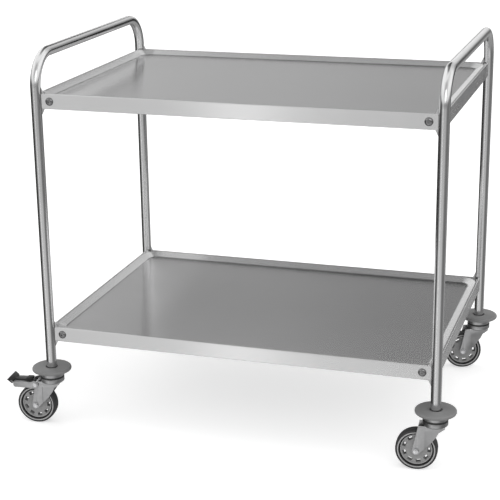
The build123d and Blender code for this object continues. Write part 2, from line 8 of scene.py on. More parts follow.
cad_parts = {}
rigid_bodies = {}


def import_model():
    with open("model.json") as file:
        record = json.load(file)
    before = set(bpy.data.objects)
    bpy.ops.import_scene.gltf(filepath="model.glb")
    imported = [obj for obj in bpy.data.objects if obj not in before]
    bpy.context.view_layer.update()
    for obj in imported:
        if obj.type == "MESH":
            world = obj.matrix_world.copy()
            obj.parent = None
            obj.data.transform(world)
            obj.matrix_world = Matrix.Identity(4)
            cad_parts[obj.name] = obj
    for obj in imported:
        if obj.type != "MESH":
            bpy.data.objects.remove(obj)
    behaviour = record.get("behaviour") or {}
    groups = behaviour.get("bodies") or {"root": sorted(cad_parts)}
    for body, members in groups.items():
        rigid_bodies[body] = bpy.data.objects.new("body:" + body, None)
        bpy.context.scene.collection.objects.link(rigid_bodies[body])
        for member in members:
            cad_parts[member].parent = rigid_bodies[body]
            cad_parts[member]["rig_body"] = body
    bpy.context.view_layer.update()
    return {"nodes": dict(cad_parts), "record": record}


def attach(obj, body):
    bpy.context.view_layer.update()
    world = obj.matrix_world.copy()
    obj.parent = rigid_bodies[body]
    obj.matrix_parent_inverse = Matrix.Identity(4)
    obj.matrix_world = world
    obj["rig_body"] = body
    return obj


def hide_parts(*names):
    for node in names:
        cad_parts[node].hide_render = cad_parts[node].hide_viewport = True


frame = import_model()
cadNodes = frame["nodes"]
print("frame loaded with", len(cadNodes), "pieces")

mm = 0.001  # sizes below are in mm and angles in degrees, unless a note says otherwise
tiny = 1e-6
leftX, rightX, legY = -455.0, 520.0, 332.5  # centres of the legs, which are also the edges of the trays
middleX = (leftX + rightX) / 2
corners = {  # centre of each leg, and the way its castor trails
    "left_front": {"x": leftX, "y": -legY, "turn": 5.0},
    "right_front": {"x": rightX, "y": -legY, "turn": 5.0},
    "left_rear": {"x": leftX, "y": legY, "turn": 10.0},
    "right_rear": {"x": rightX, "y": legY, "turn": 18.0},
}
ends = {"left": {"x": leftX, "inward": 1}, "right": {"x": rightX, "inward": -1}}
shelves = {"upper": 848.0, "lower": 258.0}  # height of each tray's rim


# Small helpers
def newObject(name, mesh, material=None):
    piece = bpy.data.objects.new(name, mesh)
    bpy.context.scene.collection.objects.link(piece)
    if material:
        mesh.materials.clear()
        mesh.materials.append(material)
    return piece


def shadeByAngle(mesh, degrees):
    mesh.polygons.foreach_set("use_smooth", [True] * len(mesh.polygons))
    mesh.set_sharp_from_angle(angle=math.radians(degrees))


def bakedMesh(piece):
    graph = bpy.context.evaluated_depsgraph_get()
    return bpy.data.meshes.new_from_object(piece.evaluated_get(graph), depsgraph=graph)


def camel(nodeName):  # left_front_fork becomes leftFrontFork
    first, *rest = nodeName.split("_")
    return first + "".join(word.capitalize() for word in rest)


def finish(piece, body, slotName, *nodes):
    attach(piece, body)
    if nodes:
        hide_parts(*nodes)
    return piece


# Helpers that add one node, set it up and fill or link its sockets
def addNode(tree, kind, inputs=None, **settings):
    node = tree.nodes.new(kind)
    for key, value in settings.items():
        setattr(node, key, value)
    for socket, value in (inputs or {}).items():
        if isinstance(value, bpy.types.NodeSocket):
            tree.links.new(value, node.inputs[socket])
        else:
            node.inputs[socket].default_value = value
    return node


def mathNode(tree, operation, *values):
    return addNode(tree, "ShaderNodeMath", dict(enumerate(values)), operation=operation).outputs[0]


def dotNode(tree, vector, direction):
    inputs = {0: vector, 1: direction}
    return addNode(tree, "ShaderNodeVectorMath", inputs, operation="DOT_PRODUCT").outputs["Value"]


def noiseNode(tree, where, scale, detail, roughness=0.5):
    inputs = {"Vector": where, "Scale": scale, "Detail": detail, "Roughness": roughness}
    return addNode(tree, "ShaderNodeTexNoise", inputs).outputs["Fac"]


def rampNode(tree, value, low, high, start, end, shape="LINEAR"):
    inputs = {"Value": value, "From Min": low, "From Max": high, "To Min": start, "To Max": end}
    return addNode(tree, "ShaderNodeMapRange", inputs, interpolation_type=shape).outputs[0]


# Shared shader groups
textureLook = {  # how fine each group's noise is, and the noise values that its tone and mask run between
    "scratchDetail": 3.0, "scratchRoughness": 0.6, "wideScale": 0.23, "wideDetail": 2.0,
    "cloudDetail": 4.0, "cloudRoughness": 0.55, "cloudTone": (0.3, 0.7), "cloudMask": (0.45, 0.75),
    "pitDetail": 2.0,
}


def shaderGroup(name, inputs, outputs):
    group = bpy.data.node_groups.new(name, "ShaderNodeTree")
    for label, kind, value in inputs:
        socket = group.interface.new_socket(label, in_out="INPUT", socket_type="NodeSocket" + kind)
        if value is not None:
            socket.default_value = value
    for label in outputs:
        group.interface.new_socket(label, in_out="OUTPUT", socket_type="NodeSocketFloat")
    given = group.nodes.new("NodeGroupInput").outputs
    return group, given, group.nodes.new("NodeGroupOutput").inputs


def makeGrainGroup():  # long fine scratches left by the grinding belt
    look = textureLook
    group, given, result = shaderGroup("brushedGrain", [
        ("Vector", "Vector", None), ("Stretch", "Vector", (2.0, 400.0, 400.0)), ("Contrast", "Float", 0.1),
    ], ("Tone", "Height"))
    stretched = addNode(
        group, "ShaderNodeVectorMath", {0: given["Vector"], 1: given["Stretch"]}, operation="MULTIPLY",
    ).outputs[0]
    fine = noiseNode(group, stretched, 1.0, look["scratchDetail"], look["scratchRoughness"])
    wide = noiseNode(group, stretched, look["wideScale"], look["wideDetail"])
    around = mathNode(group, "SUBTRACT", mathNode(group, "ADD", fine, wide), 1.0)
    group.links.new(mathNode(group, "MULTIPLY_ADD", around, given["Contrast"], 1.0), result["Tone"])
    group.links.new(fine, result["Height"])
    return group


def makeSmudgeGroup():  # soft cloudy patches of handling, dust and uneven finish
    look = textureLook
    group, given, result = shaderGroup("softSmudge", [
        ("Vector", "Vector", None), ("Scale", "Float", 6.0), ("Low", "Float", 0.9), ("High", "Float", 1.1),
    ], ("Tone", "Mask"))
    cloud = noiseNode(group, given["Vector"], given["Scale"], look["cloudDetail"], look["cloudRoughness"])
    tone = rampNode(group, cloud, *look["cloudTone"], given["Low"], given["High"])
    group.links.new(tone, result["Tone"])
    group.links.new(rampNode(group, cloud, *look["cloudMask"], 0.0, 1.0), result["Mask"])
    return group


def makeSpeckleGroup():  # fine pits and grain of moulded plastic and rubber
    group, given, result = shaderGroup("mouldedGrain", [
        ("Vector", "Vector", None), ("Scale", "Float", 900.0), ("Contrast", "Float", 0.1),
    ], ("Tone", "Height"))
    pits = noiseNode(group, given["Vector"], given["Scale"], textureLook["pitDetail"])
    around = mathNode(group, "SUBTRACT", pits, 0.5)
    group.links.new(mathNode(group, "MULTIPLY_ADD", around, given["Contrast"], 1.0), result["Tone"])
    group.links.new(pits, result["Height"])
    return group


grainGroup = makeGrainGroup()
smudgeGroup = makeSmudgeGroup()
speckleGroup = makeSpeckleGroup()

# Materials; pattern and smudge fill the sockets of the shared groups, and bumpDepth and dent are in metres
metalLooks = {
    "brushedTray": {  # its roughness stays under 0.27, past which denoising leaves streaks on the panels
        "colour": (0.69, 0.69, 0.692), "pattern": {"Stretch": (2.5, 420.0, 420.0), "Contrast": 0.05},
        "smudge": {"Scale": 5.0, "Low": 0.97, "High": 1.03}, "rough": 0.243, "roughSpread": 0.018,
        "bump": 0.02, "bumpDepth": 0.0002, "dent": 0.0003, "dentScale": 2.2, "dentDetail": 1.0,
        "drawn": 1.0, "drawnTurn": 0.25, "drawnAlong": (1.0, 0.0, 0.001),
    },
    "polishedTube": {
        "colour": (0.66, 0.66, 0.662), "pattern": {"Stretch": (60.0, 60.0, 60.0), "Contrast": 0.05},
        "smudge": {"Scale": 14.0, "Low": 0.97, "High": 1.03}, "rough": 0.17, "roughSpread": 0.07,
        "bump": 0.05, "bumpDepth": 0.0002,
    },
    "rawPlate": {
        "colour": (0.52, 0.52, 0.525), "pattern": {"Stretch": (30.0, 160.0, 160.0), "Contrast": 0.12},
        "smudge": {"Scale": 22.0, "Low": 0.88, "High": 1.06}, "rough": 0.34, "roughSpread": 0.16,
        "bump": 0.15, "bumpDepth": 0.0002,
    },
    "weldBead": {
        "colour": (0.15, 0.145, 0.14), "pattern": {"Stretch": (700.0, 700.0, 700.0), "Contrast": 0.35},
        "smudge": {"Scale": 160.0, "Low": 0.6, "High": 1.25}, "rough": 0.30, "roughSpread": 0.25,
        "bump": 0.4, "bumpDepth": 0.0003,
    },
    "screwSteel": {
        "colour": (0.23, 0.23, 0.232), "pattern": {"Stretch": (300.0, 300.0, 300.0), "Contrast": 0.05},
        "smudge": {"Scale": 60.0, "Low": 0.95, "High": 1.04}, "rough": 0.08, "roughSpread": 0.04,
        "bump": 0.06, "bumpDepth": 0.0001,
    },
    "brightZinc": {
        "colour": (0.44, 0.44, 0.444), "pattern": {"Stretch": (110.0, 110.0, 110.0), "Contrast": 0.10},
        "smudge": {"Scale": 45.0, "Low": 0.85, "High": 1.10}, "rough": 0.30, "roughSpread": 0.16,
        "bump": 0.12, "bumpDepth": 0.0002,
    },
    "turnedSteel": {
        "colour": (0.66, 0.66, 0.67), "pattern": {"Stretch": (400.0, 400.0, 400.0), "Contrast": 0.08},
        "smudge": {"Scale": 90.0, "Low": 0.92, "High": 1.06}, "rough": 0.20, "roughSpread": 0.12,
        "bump": 0.10, "bumpDepth": 0.0001,
    },
}
mouldedLooks = {
    "discGrey": {
        "colour": (0.225, 0.225, 0.225), "pattern": {"Scale": 800.0, "Contrast": 0.10},
        "smudge": {"Scale": 30.0, "Low": 0.95, "High": 1.05}, "rough": 0.48, "roughSpread": 0.12,
        "bump": 0.15, "bumpDepth": 0.0002,
    },
    "wheelGrey": {
        "colour": (0.33, 0.33, 0.33), "pattern": {"Scale": 900.0, "Contrast": 0.10},
        "smudge": {"Scale": 60.0, "Low": 0.9, "High": 1.06}, "rough": 0.42, "roughSpread": 0.15,
        "bump": 0.15, "bumpDepth": 0.0002,
    },
    # lighter grey painted on the wheel's rim ring and rib as a painted highlight
    "rimGrey": {
        "colour": (0.52, 0.52, 0.52), "pattern": {"Scale": 900.0, "Contrast": 0.08},
        "smudge": {"Scale": 60.0, "Low": 0.92, "High": 1.06}, "rough": 0.36, "roughSpread": 0.15,
        "bump": 0.1, "bumpDepth": 0.0002,
    },
    # near-black painted shade for the deep groove between the wheel's rim and its rib
    "grooveGrime": {
        "colour": (0.05, 0.05, 0.05), "pattern": {"Scale": 900.0, "Contrast": 0.2},
        "smudge": {"Scale": 90.0, "Low": 0.7, "High": 1.4}, "rough": 0.6, "roughSpread": 0.15,
        "bump": 0.15, "bumpDepth": 0.0002,
    },
    # darker grey painted on the wheel's window walls as painted shade
    "windowShade": {
        "colour": (0.22, 0.22, 0.22), "pattern": {"Scale": 900.0, "Contrast": 0.1},
        "smudge": {"Scale": 60.0, "Low": 0.85, "High": 1.1}, "rough": 0.5, "roughSpread": 0.1,
        "bump": 0.1, "bumpDepth": 0.0002,
    },
    "tyreRubber": {
        "colour": (0.030, 0.030, 0.031), "pattern": {"Scale": 1100.0, "Contrast": 0.3},
        "smudge": {"Scale": 50.0, "Low": 0.85, "High": 1.3}, "rough": 0.55, "roughSpread": 0.2,
        "bump": 0.25, "bumpDepth": 0.0003,
    },
    "padBlack": {
        "colour": (0.016, 0.016, 0.016), "pattern": {"Scale": 1200.0, "Contrast": 0.3},
        "smudge": {"Scale": 70.0, "Low": 0.8, "High": 1.3}, "rough": 0.42, "roughSpread": 0.15,
        "bump": 0.2, "bumpDepth": 0.0002,
    },
    "sealBlack": {
        "colour": (0.03, 0.03, 0.03), "pattern": {"Scale": 900.0, "Contrast": 0.2},
        "smudge": {"Scale": 70.0, "Low": 0.85, "High": 1.2}, "rough": 0.4, "roughSpread": 0.1,
        "bump": 0.1, "bumpDepth": 0.0002,
    },
    "insertGrey": {
        "colour": (0.10, 0.10, 0.10), "pattern": {"Scale": 900.0, "Contrast": 0.15},
        "smudge": {"Scale": 70.0, "Low": 0.9, "High": 1.1}, "rough": 0.5, "roughSpread": 0.1,
        "bump": 0.1, "bumpDepth": 0.0002,
    },
}


def makeFinish(name, look, metal):
    material = bpy.data.materials.new(name)
    material.use_nodes = True
    tree = material.node_tree
    shader = tree.nodes["Principled BSDF"]
    where = addNode(tree, "ShaderNodeTexCoord").outputs["Object"]
    group = grainGroup if metal else speckleGroup
    grain = addNode(tree, "ShaderNodeGroup", {"Vector": where, **look["pattern"]}, node_tree=group).outputs
    cloud = {"Vector": where, **look["smudge"]}
    smudge = addNode(tree, "ShaderNodeGroup", cloud, node_tree=smudgeGroup).outputs
    tone = mathNode(tree, "MULTIPLY", grain["Tone"], smudge["Tone"])
    tint = addNode(tree, "ShaderNodeVectorMath", {0: look["colour"], "Scale": tone}, operation="SCALE")
    tree.links.new(tint.outputs[0], shader.inputs["Base Color"])
    rough = rampNode(tree, smudge["Mask"], 0.0, 1.0, look["rough"], look["rough"] + look["roughSpread"])
    if metal:  # the scratches change its gloss too
        shader.inputs["Metallic"].default_value = 1.0
        rough = mathNode(tree, "MULTIPLY", rough, grain["Tone"])
    tree.links.new(rough, shader.inputs["Roughness"])
    bump = addNode(tree, "ShaderNodeBump", {
        "Height": grain["Height"], "Strength": look["bump"], "Distance": look["bumpDepth"],
    })
    tree.links.new(bump.outputs[0], shader.inputs["Normal"])
    if "drawn" in look:  # the belt ran along X, so reflections smear across it; a trace of Z suits the ends
        along = addNode(tree, "ShaderNodeCombineXYZ", dict(zip("XYZ", look["drawnAlong"])))
        tree.links.new(along.outputs[0], shader.inputs["Tangent"])
        shader.inputs["Anisotropic"].default_value = look["drawn"]
        shader.inputs["Anisotropic Rotation"].default_value = look["drawnTurn"]
    if "dent" in look:  # sheet metal is never quite flat
        swell = noiseNode(tree, where, look["dentScale"], look["dentDetail"])
        wave = addNode(tree, "ShaderNodeBump", {"Height": swell, "Strength": 1.0, "Distance": look["dent"]})
        tree.links.new(wave.outputs[0], bump.inputs["Normal"])
    return material


finishes = {name: makeFinish(name, look, True) for name, look in metalLooks.items()}
finishes.update({name: makeFinish(name, look, False) for name, look in mouldedLooks.items()})
print("materials built:", len(finishes))

slotFinish = {
    "tube_steel": "polishedTube", "tray_steel": "brushedTray", "plate_steel": "rawPlate",
    "screw_steel": "screwSteel", "zinc_steel": "turnedSteel", "castor_steel": "brightZinc",
    "lever_steel": "brightZinc", "ball_steel": "turnedSteel", "buffer_plastic": "discGrey",
    "insert_plastic": "insertGrey", "seal_plastic": "sealBlack", "wheel_plastic": "wheelGrey",
    "tyre_rubber": "tyreRubber", "pad_plastic": "padBlack",
}
nodeSlot = {entry["node"]: entry["material_slot"] for entry in frame["record"]["subparts"]}
for nodeName, node in cadNodes.items():
    node.data.materials.clear()
    node.data.materials.append(finishes[slotFinish[nodeSlot[nodeName]]])


# Geometry node trees
def startTree(name, sizes):
    tree = bpy.data.node_groups.new(name, "GeometryNodeTree")
    for label, kind in {"Geometry": "Geometry", **sizes}.items():
        tree.interface.new_socket(label, in_out="INPUT", socket_type="NodeSocket" + kind)
    tree.interface.new_socket("Geometry", in_out="OUTPUT", socket_type="NodeSocketGeometry")
    return tree, tree.nodes.new("NodeGroupInput").outputs


def endTree(tree, geometry, material, smooth):  # what isn't smoothed keeps the shading of its template
    whole = addNode(tree, "GeometryNodeRealizeInstances", {"Geometry": geometry}).outputs[0]
    if smooth:
        whole = addNode(tree, "GeometryNodeSetShadeSmooth", {"Geometry": whole}).outputs[0]
    painted = addNode(tree, "GeometryNodeSetMaterial", {"Geometry": whole, "Material": material})
    tree.links.new(painted.outputs[0], tree.nodes.new("NodeGroupOutput").inputs["Geometry"])


def runTree(tree, name, baseMesh, values):
    carrier = newObject(name + "Carrier", baseMesh)
    step = carrier.modifiers.new("rule", "NODES")
    step.node_group = tree
    for item in tree.interface.items_tree:
        if item.item_type == "SOCKET" and item.in_out == "INPUT" and item.name in values:
            step[item.identifier] = values[item.name]
    mesh = bakedMesh(carrier)
    carrier.modifiers.remove(step)
    bpy.data.objects.remove(carrier)
    mesh.name = name
    return newObject(name, mesh)


def liveSocket(sockets, name):  # of the sockets that share a name, the one that the node's settings show
    return next(socket for socket in sockets if socket.name == name and socket.enabled)


# Meshes from points and outlines
def lineMesh(name, lines):  # loose edges, one polyline after the other
    points, edges = [], []
    for line in lines:
        start = len(points)
        points += [Vector(p) * mm for p in line]
        edges += [(start + i, start + i + 1) for i in range(len(line) - 1)]
    mesh = bpy.data.meshes.new(name)
    mesh.from_pydata(points, edges, [])
    return mesh


def pointMesh(name, points, facings):  # loose points, each with the way it faces
    mesh = bpy.data.meshes.new(name)
    mesh.from_pydata([Vector(p) * mm for p in points], [], [])
    facing = mesh.attributes.new("facing", "FLOAT_VECTOR", "POINT")
    for i, direction in enumerate(facings):
        facing.data[i].vector = direction
    return mesh


def lathe(profile, steps):  # (radius, height) pairs; the outline runs anticlockwise seen with height up
    made = bmesh.new()
    rings = []
    for radius, height in profile:
        turns = [math.tau * i / steps for i in range(1 if radius < tiny else steps)]
        ring = [(radius * mm * math.cos(turn), radius * mm * math.sin(turn), height * mm) for turn in turns]
        rings.append([made.verts.new(point) for point in ring])
    closed = len(rings[0]) > 1 and len(rings[-1]) > 1
    pairs = list(zip(rings, rings[1:])) + ([(rings[-1], rings[0])] if closed else [])
    for low, high in pairs:
        for i in range(steps):
            j = (i + 1) % steps
            ring = [low[i % len(low)], low[j % len(low)], high[j % len(high)], high[i % len(high)]]
            face = list(dict.fromkeys(ring))
            if len(face) > 2:
                made.faces.new(face)
    bmesh.ops.recalc_face_normals(made, faces=made.faces)
    mesh = bpy.data.meshes.new("lathe")
    made.to_mesh(mesh)
    made.free()
    return mesh


def roundedProfile(points, radii, steps):  # an outline with its corners turned into arcs, open ended
    nearlyStraight = math.pi / 2 - 1e-3
    run = [Vector(points[0])]
    for before, corner, after, radius in zip(points, points[1:], points[2:], radii):
        a = (Vector(before) - Vector(corner)).normalized()
        b = (Vector(after) - Vector(corner)).normalized()
        half = a.angle(b) / 2
        if radius < tiny or half > nearlyStraight:
            run.append(Vector(corner))
            continue
        centre = Vector(corner) + (a + b).normalized() * radius / math.sin(half)
        start = Vector(corner) + a * radius / math.tan(half) - centre
        sweep = start.angle_signed(Vector(corner) + b * radius / math.tan(half) - centre)
        for i in range(steps + 1):
            run.append(centre + Matrix.Rotation(-sweep * i / steps, 2) @ start)
    run.append(Vector(points[-1]))
    return run


def arcPoints(centre, radius, startDegrees, endDegrees, steps):
    turns = [math.radians(startDegrees + (endDegrees - startDegrees) * i / steps) for i in range(steps + 1)]
    return [(centre[0] + radius * math.cos(turn), centre[1] + radius * math.sin(turn)) for turn in turns]


# An outline pushed from low to high, where place turns its points into the frame
def prism(made, outline, low, high, place):
    rings = [[made.verts.new(Vector(place(a, b, level)) * mm) for a, b in outline] for level in (low, high)]
    count = len(outline)
    for i in range(count):
        j = (i + 1) % count
        made.faces.new((rings[0][i], rings[0][j], rings[1][j], rings[1][i]))
    made.faces.new(rings[0])
    made.faces.new(rings[1])


def cutAway(piece, cutters):
    for made in cutters:
        bmesh.ops.recalc_face_normals(made, faces=made.faces)
        mesh = bpy.data.meshes.new("cutter")
        made.to_mesh(mesh)
        made.free()
        cutter = newObject("cutter", mesh)
        cut = piece.modifiers.new("cut", "BOOLEAN")
        cut.object, cut.operation, cut.solver = cutter, "DIFFERENCE", "EXACT"
        mesh = bakedMesh(piece)
        piece.modifiers.clear()
        piece.data = mesh
        bpy.data.objects.remove(cutter)


# Hoops
hoopLook = {
    "tubeDiameter": 25.0, "bendRadius": 78.0, "bendSteps": 24, "ringSteps": 48, "topZ": 950.0, "footZ": 147.0,
    "sharp": 40.0,
}


def makeHoopTree():
    tree, given = startTree("bentTube", {
        "Bend Radius": "Float", "Bend Steps": "Int", "Tube Radius": "Float", "Ring Steps": "Int",
        "Finish": "Material",
    })
    line = addNode(tree, "GeometryNodeMeshToCurve", {"Mesh": given["Geometry"]})
    bent = addNode(tree, "GeometryNodeFilletCurve", {
        "Curve": line.outputs[0], "Count": given["Bend Steps"], "Radius": given["Bend Radius"],
    }, mode="POLY")
    ring = addNode(tree, "GeometryNodeCurvePrimitiveCircle", {
        "Resolution": given["Ring Steps"], "Radius": given["Tube Radius"],
    })
    tube = addNode(tree, "GeometryNodeCurveToMesh", {
        "Curve": bent.outputs[0], "Profile Curve": ring.outputs[0], "Fill Caps": True,
    })
    endTree(tree, tube.outputs[0], given["Finish"], True)
    return tree


hoopTree = makeHoopTree()
for side, end in ends.items():
    foot, high = hoopLook["footZ"], hoopLook["topZ"] - hoopLook["tubeDiameter"] / 2
    path = [(end["x"], y, z) for y, z in ((-legY, foot), (-legY, high), (legY, high), (legY, foot))]
    hoop = runTree(hoopTree, side + "HoopTube", lineMesh("hoopPath", [path]), {
        "Bend Radius": hoopLook["bendRadius"] * mm, "Bend Steps": hoopLook["bendSteps"],
        "Tube Radius": hoopLook["tubeDiameter"] / 2 * mm, "Ring Steps": hoopLook["ringSteps"],
        "Finish": finishes["polishedTube"],
    })
    shadeByAngle(hoop.data, hoopLook["sharp"])
    finish(hoop, "trolley", "tube_steel", side + "_hoop")
print("hoops bent")


# Trays
trayLook = {
    "length": rightX - leftX, "width": 2 * legY, "apron": 37.0, "sheet": 1.2, "hem": 12.0, "hemBend": 1.8,
    "bend": 2.5, "rim": 6.0, "rimBend": 5.0, "slope": 20.0, "depth": 11.0, "floorBend": 9.0,
    "floorRing": 14.0, "dishCorner": 45.0, "foldCorner": 0.3, "cornerSteps": 16, "bendSteps": 6,
    "support": 0.5, "supportFrom": 1.75, "sharp": 24.0,
}
cutLook = {  # cut from each corner: the notch round the leg, the round ends of the aprons and the screw hole
    "legGap": 13.5, "notch": 22.0, "legSteps": 30, "notchSteps": 16, "apronCorner": 4.0, "apronSteps": 6,
    "screwFromLeg": 34.0, "screwHole": 4.25, "holeSteps": 24,
    "past": 3.0, "endPast": 0.02, "holePast": 0.5,  # how far each cutter goes past the sheet
}


def supported(run):  # extra rings beside each bend keep the flats looking flat
    out = [run[0]]
    for a, b in zip(run, run[1:]):
        length = (b - a).length
        if length > trayLook["supportFrom"]:
            out += [a.lerp(b, trayLook["support"] / length), b.lerp(a, trayLook["support"] / length)]
        out.append(b)
    return out


def traySection(rimZ):  # the folded sheet from hem to floor, as inset from the tray's edge and height
    look = trayLook
    sheet, bottom, floorZ = look["sheet"], rimZ - look["apron"], rimZ - look["depth"]
    slopeEnd = look["rim"] + look["slope"]
    grow = sheet * math.tan(math.atan2(look["depth"], look["slope"]) / 2)
    inner = slopeEnd + look["floorRing"]
    outside = roundedProfile(
        [
            (look["hem"], bottom), (0.0, bottom), (0.0, rimZ), (look["rim"], rimZ), (slopeEnd, floorZ),
            (inner, floorZ),
        ],
        [look["hemBend"], look["bend"], look["rimBend"], look["floorBend"]], look["bendSteps"],
    )
    inside = roundedProfile(
        [
            (look["hem"], bottom + sheet), (sheet, bottom + sheet), (sheet, rimZ - sheet),
            (look["rim"] - grow, rimZ - sheet), (slopeEnd - grow, floorZ - sheet), (inner, floorZ - sheet),
        ],
        [look["hemBend"] - sheet, look["bend"] - sheet, look["rimBend"] - sheet, look["floorBend"] + sheet],
        look["bendSteps"],
    )
    return list(reversed(supported(outside))) + supported(inside)


def pressTray(name, rimZ):
    look = trayLook
    made = bmesh.new()
    rings = []
    for inset, z in traySection(rimZ):
        onTop = z > rimZ - look["apron"] / 2 and inset > (look["bend"] + look["rim"]) / 2
        radius = look["dishCorner"] + look["rim"] - inset if onTop else look["foldCorner"]
        halfX, halfY = look["length"] / 2 - inset - radius, look["width"] / 2 - inset - radius
        ring = []
        for quarter, (sx, sy) in enumerate(((1, 1), (-1, 1), (-1, -1), (1, -1))):
            centre = (middleX + sx * halfX, sy * halfY)
            ring += arcPoints(centre, radius, 90 * quarter, 90 * quarter + 90, look["cornerSteps"])
        rings.append([made.verts.new((x * mm, y * mm, z * mm)) for x, y in ring])
    for low, high in zip(rings, rings[1:]):
        for i in range(len(low)):
            j = (i + 1) % len(low)
            made.faces.new((low[i], low[j], high[j], high[i]))
    made.faces.new(rings[0])
    made.faces.new(rings[-1])
    bmesh.ops.recalc_face_normals(made, faces=made.faces)
    mesh = bpy.data.meshes.new(name)
    made.to_mesh(mesh)
    made.free()
    return newObject(name, mesh, finishes["brushedTray"])


def inwardFrom(place):  # which way the middle of the trolley lies from a leg, along X and along Y
    return (1 if place["x"] < middleX else -1), (1 if place["y"] < 0 else -1)


def cornerPlaces(place):  # an outline at a leg, drawn as seen from above, from the side or from the end
    x, y = place["x"], place["y"]
    inX, inY = inwardFrom(place)
    return (
        lambda a, b, level: (x + inX * a, y + inY * b, level),
        lambda a, b, level: (x + inX * a, y + inY * level, b),
        lambda a, b, level: (x + inX * level, y + inY * a, b),
    )


def cutCorners(tray, rimZ):
    look, sheet, bottom = cutLook, trayLook["sheet"], rimZ - trayLook["apron"]
    gap, notch, corner, past = look["legGap"], look["notch"], look["apronCorner"], look["past"]
    near, far = math.degrees(math.asin(sheet / gap)), math.degrees(math.asin(sheet / notch))
    outline = arcPoints((0, 0), notch, far, 90 - far, look["notchSteps"])
    outline += arcPoints((0, 0), gap, 90 - near, 360 + near, look["legSteps"])
    screw = (look["screwFromLeg"], rimZ - trayLook["apron"] / 2)
    hole = arcPoints(screw, look["screwHole"], 0, 360, look["holeSteps"])[:-1]
    notches, roundings, holes = bmesh.new(), bmesh.new(), bmesh.new()
    for place in corners.values():
        onPlan, onSide, onEnd = cornerPlaces(place)
        prism(notches, outline, bottom - past, rimZ + past, onPlan)
        for put in (onSide, onEnd):
            for edgeZ, up in ((rimZ, 1), (bottom, -1)):
                rounding = [(gap - past, edgeZ + past * up), (gap + corner, edgeZ + past * up)]
                middle = (gap + corner, edgeZ - up * corner)
                rounding += arcPoints(middle, corner, 90 * up, 180 * up, look["apronSteps"])
                rounding.append((gap - past, edgeZ - up * corner))
                prism(roundings, rounding, -past, sheet + look["endPast"], put)
        prism(holes, hole, -past, sheet + look["holePast"], onSide)
    cutAway(tray, [notches, roundings, holes])


for shelf, rimZ in shelves.items():
    tray = pressTray(shelf + "TrayPressing", rimZ)
    cutCorners(tray, rimZ)
    tray.data.name = tray.name
    shadeByAngle(tray.data, trayLook["sharp"])
    finish(tray, "trolley", "tray_steel", shelf + "_tray")
print("trays pressed")


# Shelf screws
screwLook = {
    "collar": 20.0, "flat": 5.8, "domeSteps": 12, "domeInset": 0.7, "domeFrom": 0.85, "height": 4.4,
    "socket": 5.0, "socketDepth": 2.5, "socketPast": 2.0, "shank": 8.0, "grip": 4.2, "nut": 6.5, "tail": 3.0,
    "thread": 1.25, "threadDepth": 0.55, "steps": 56, "sharp": 32.0, "seed": 4,
    "collarEdge": [(0.3, 0.0), (0.0, 0.25), (0.1, 0.7), (0.5, 0.85)],  # inset and height
    "tip": [(1.0, 0.0), (0.1, 0.9)],  # inset, and height over the end
}


def makeScrewTemplate():
    look = screwLook
    shank, end = look["shank"] / 2, -(look["grip"] + look["nut"] + look["tail"])
    tail = [(0.0, end)] + [(shank - inset, end + height) for inset, height in look["tip"]]
    level = tail[-1][1]
    while level + look["thread"] < -look["grip"]:
        tail += [(shank - look["threadDepth"], level + look["thread"] * 0.5), (shank, level + look["thread"])]
        level += look["thread"]
    collar = look["collar"] / 2
    head = [(shank, 0.0)] + [(collar - inset, height) for inset, height in look["collarEdge"]]
    flat, reach, rise = look["flat"] / 2, collar - look["domeInset"], look["height"] - look["domeFrom"]
    for i in range(look["domeSteps"] + 1):  # the polished dome, flat only round its socket
        turn = math.radians(90 * i / look["domeSteps"])
        head.append((flat + (reach - flat) * math.cos(turn), look["domeFrom"] + rise * math.sin(turn)))
    head.append((0.0, look["height"]))
    template = newObject("screwTemplate", lathe(tail + head, look["steps"]))
    socket = bmesh.new()
    hexagon = arcPoints((0, 0), look["socket"] / math.sqrt(3), 30, 330, 5)
    bottom, top = look["height"] - look["socketDepth"], look["height"] + look["socketPast"]
    prism(socket, hexagon, bottom, top, lambda a, b, level: (a, b, level))
    cutAway(template, [socket])
    shadeByAngle(template.data, look["sharp"])
    return template


def makeStudTree():
    tree, given = startTree("studsOnPoints", {
        "Stud": "Object", "Roll": "Float", "Seed": "Int", "Finish": "Material",
    })
    facing = addNode(tree, "GeometryNodeInputNamedAttribute", {"Name": "facing"}, data_type="FLOAT_VECTOR")
    aim = addNode(tree, "FunctionNodeAlignRotationToVector", {"Vector": facing.outputs[0]}, axis="Z")
    roll = addNode(tree, "FunctionNodeRandomValue", {"Seed": given["Seed"]}, data_type="FLOAT")
    tree.links.new(given["Roll"], liveSocket(roll.inputs, "Max"))
    spin = addNode(tree, "FunctionNodeAxisAngleToRotation", {
        "Axis": (0.0, 0.0, 1.0), "Angle": liveSocket(roll.outputs, "Value"),
    })
    turned = addNode(
        tree, "FunctionNodeRotateRotation", {0: aim.outputs[0], 1: spin.outputs[0]}, rotation_space="LOCAL",
    )
    stud = addNode(tree, "GeometryNodeObjectInfo", {"Object": given["Stud"]}, transform_space="ORIGINAL")
    placed = addNode(tree, "GeometryNodeInstanceOnPoints", {
        "Points": given["Geometry"], "Instance": stud.outputs["Geometry"], "Rotation": turned.outputs[0],
    })
    endTree(tree, placed.outputs[0], given["Finish"], False)
    return tree


studTree = makeStudTree()
screwTemplate = makeScrewTemplate()
screwPoints, screwFacings = [], []
for rimZ in shelves.values():
    for place in corners.values():
        inX, inY = inwardFrom(place)
        screwX = place["x"] + inX * cutLook["screwFromLeg"]
        screwPoints.append((screwX, place["y"], rimZ - trayLook["apron"] / 2))
        screwFacings.append((0.0, -inY, 0.0))
screws = runTree(studTree, "shelfScrews", pointMesh("screwPoints", screwPoints, screwFacings), {
    "Stud": screwTemplate, "Roll": math.tau, "Seed": screwLook["seed"], "Finish": finishes["screwSteel"],
})
bpy.data.objects.remove(screwTemplate)
finish(screws, "trolley", "screw_steel", "shelf_screws")
print("screws set")


